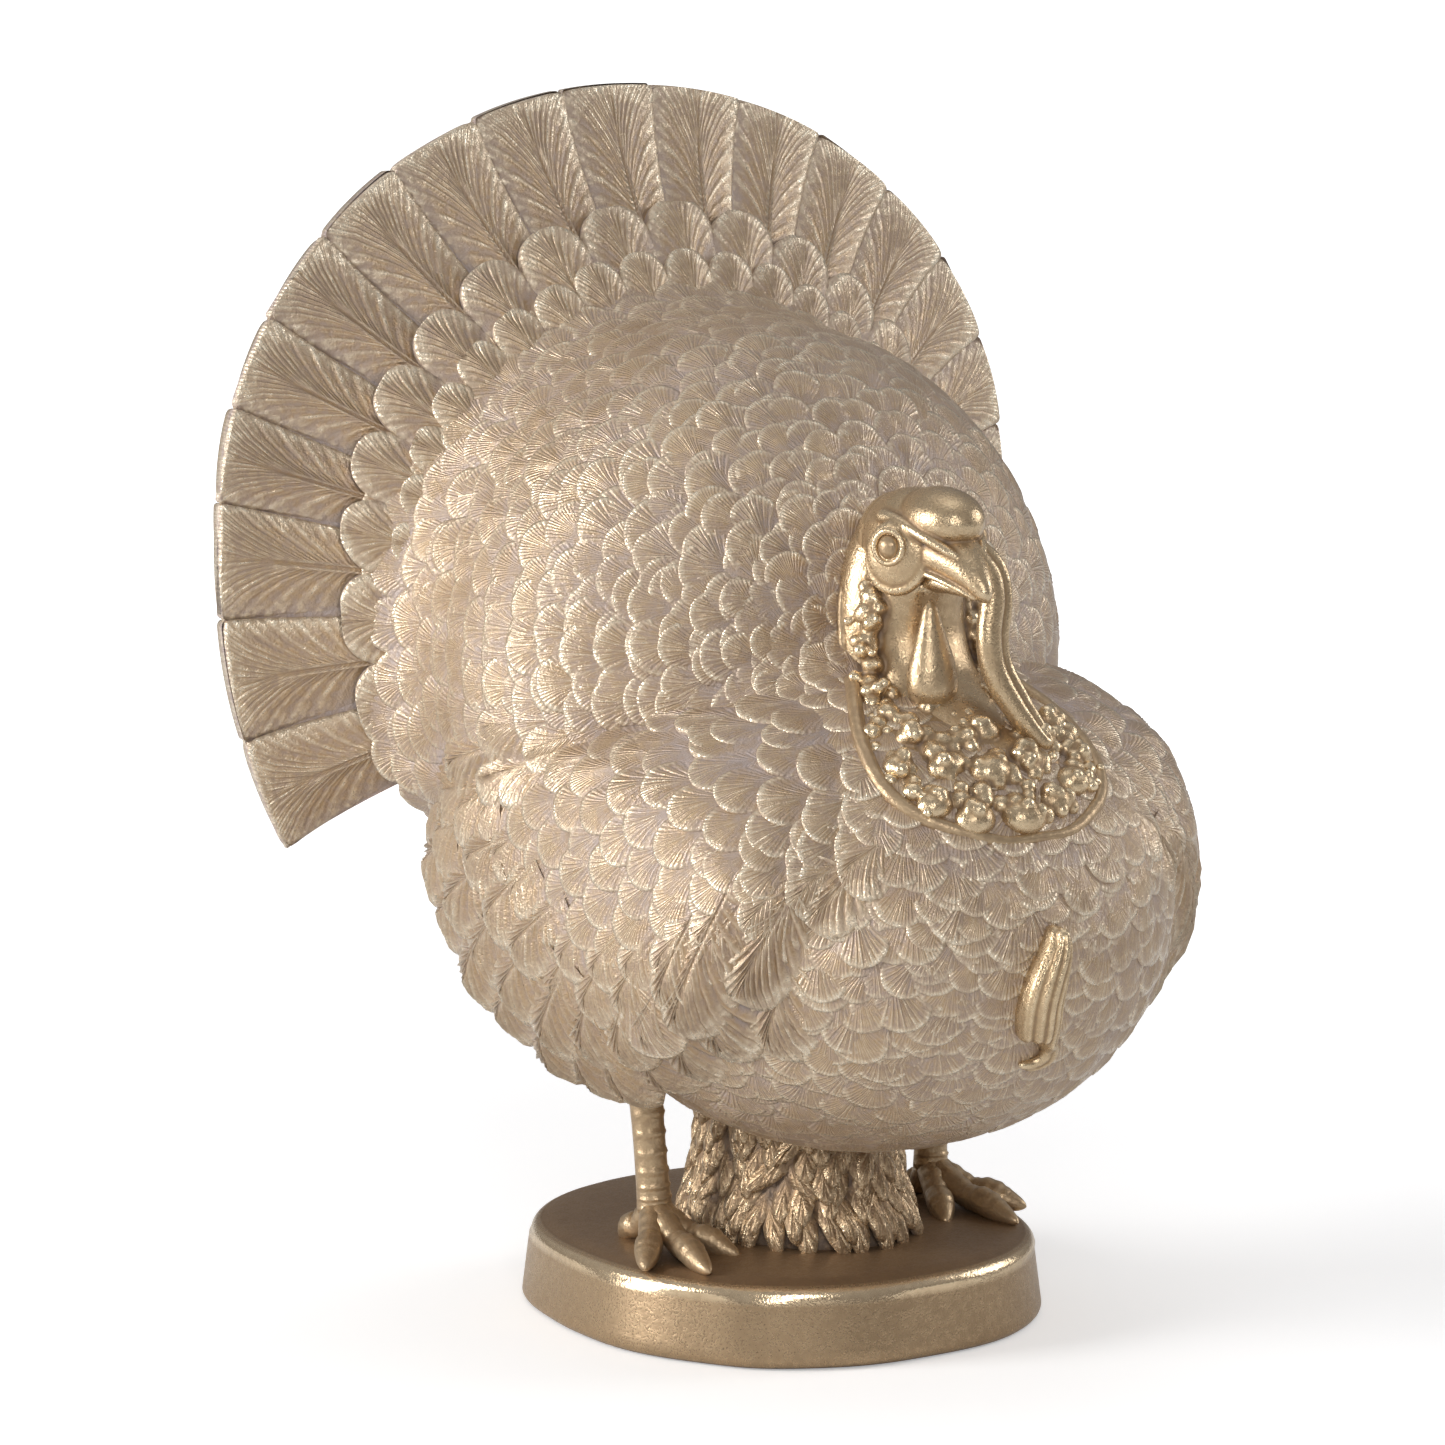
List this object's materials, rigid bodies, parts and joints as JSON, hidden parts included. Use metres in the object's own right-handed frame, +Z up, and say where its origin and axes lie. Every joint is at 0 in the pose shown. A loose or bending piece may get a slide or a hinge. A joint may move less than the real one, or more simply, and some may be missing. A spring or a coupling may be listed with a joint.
{
  "type": "turkey figure",
  "caption": "Free-standing cast figure of a tom turkey in full strut, with fanned tail, drooping wings, snood and beard, on an oval plinth with a felt base.",
  "frame": {"origin": "middle of the underside of the felt pad, which is the face the figure stands on", "axes": "+Z up, -Y the way the bird faces, +X towards the bird's left side"},
  "size_m": [0.2724, 0.2396, 0.347],
  "materials": {
    "feather_gold": "satin champagne-gold paint with a mauve-taupe wash in the recesses",
    "smooth_gold": "satin gold paint, rubbed brighter on the high places",
    "pin_steel": "plain drawn rod",
    "base_felt": "brown felt"
  },
  "bodies": {
    "root": {"felt_pad": "base_felt", "base_plinth": "smooth_gold", "tuft_support": "feather_gold", "torso": "feather_gold", "back_saddle": "feather_gold", "tail_fan": "feather_gold", "covert_fan": "feather_gold", "wing_right": "feather_gold", "wing_left": "feather_gold", "neck": "smooth_gold", "cape_rim": "smooth_gold", "head": "smooth_gold", "eye_right": "smooth_gold", "eye_left": "smooth_gold", "snood": "smooth_gold", "wattle": "smooth_gold", "caruncle_collar": "smooth_gold", "beard": "smooth_gold", "leg_right": "smooth_gold", "leg_left": "smooth_gold", "centre_dowel": "pin_steel", "leg_rod_right": "pin_steel", "leg_rod_left": "pin_steel", "saddle_dowel_front": "pin_steel", "saddle_dowel_rear": "pin_steel", "neck_dowel": "pin_steel", "head_peg": "pin_steel", "fan_pin_top": "pin_steel", "fan_pin_right": "pin_steel", "fan_pin_left": "pin_steel", "wing_peg_right_front": "pin_steel", "wing_peg_right_rear": "pin_steel", "wing_peg_left_front": "pin_steel", "wing_peg_left_rear": "pin_steel"}
  },
  "joints": []
}
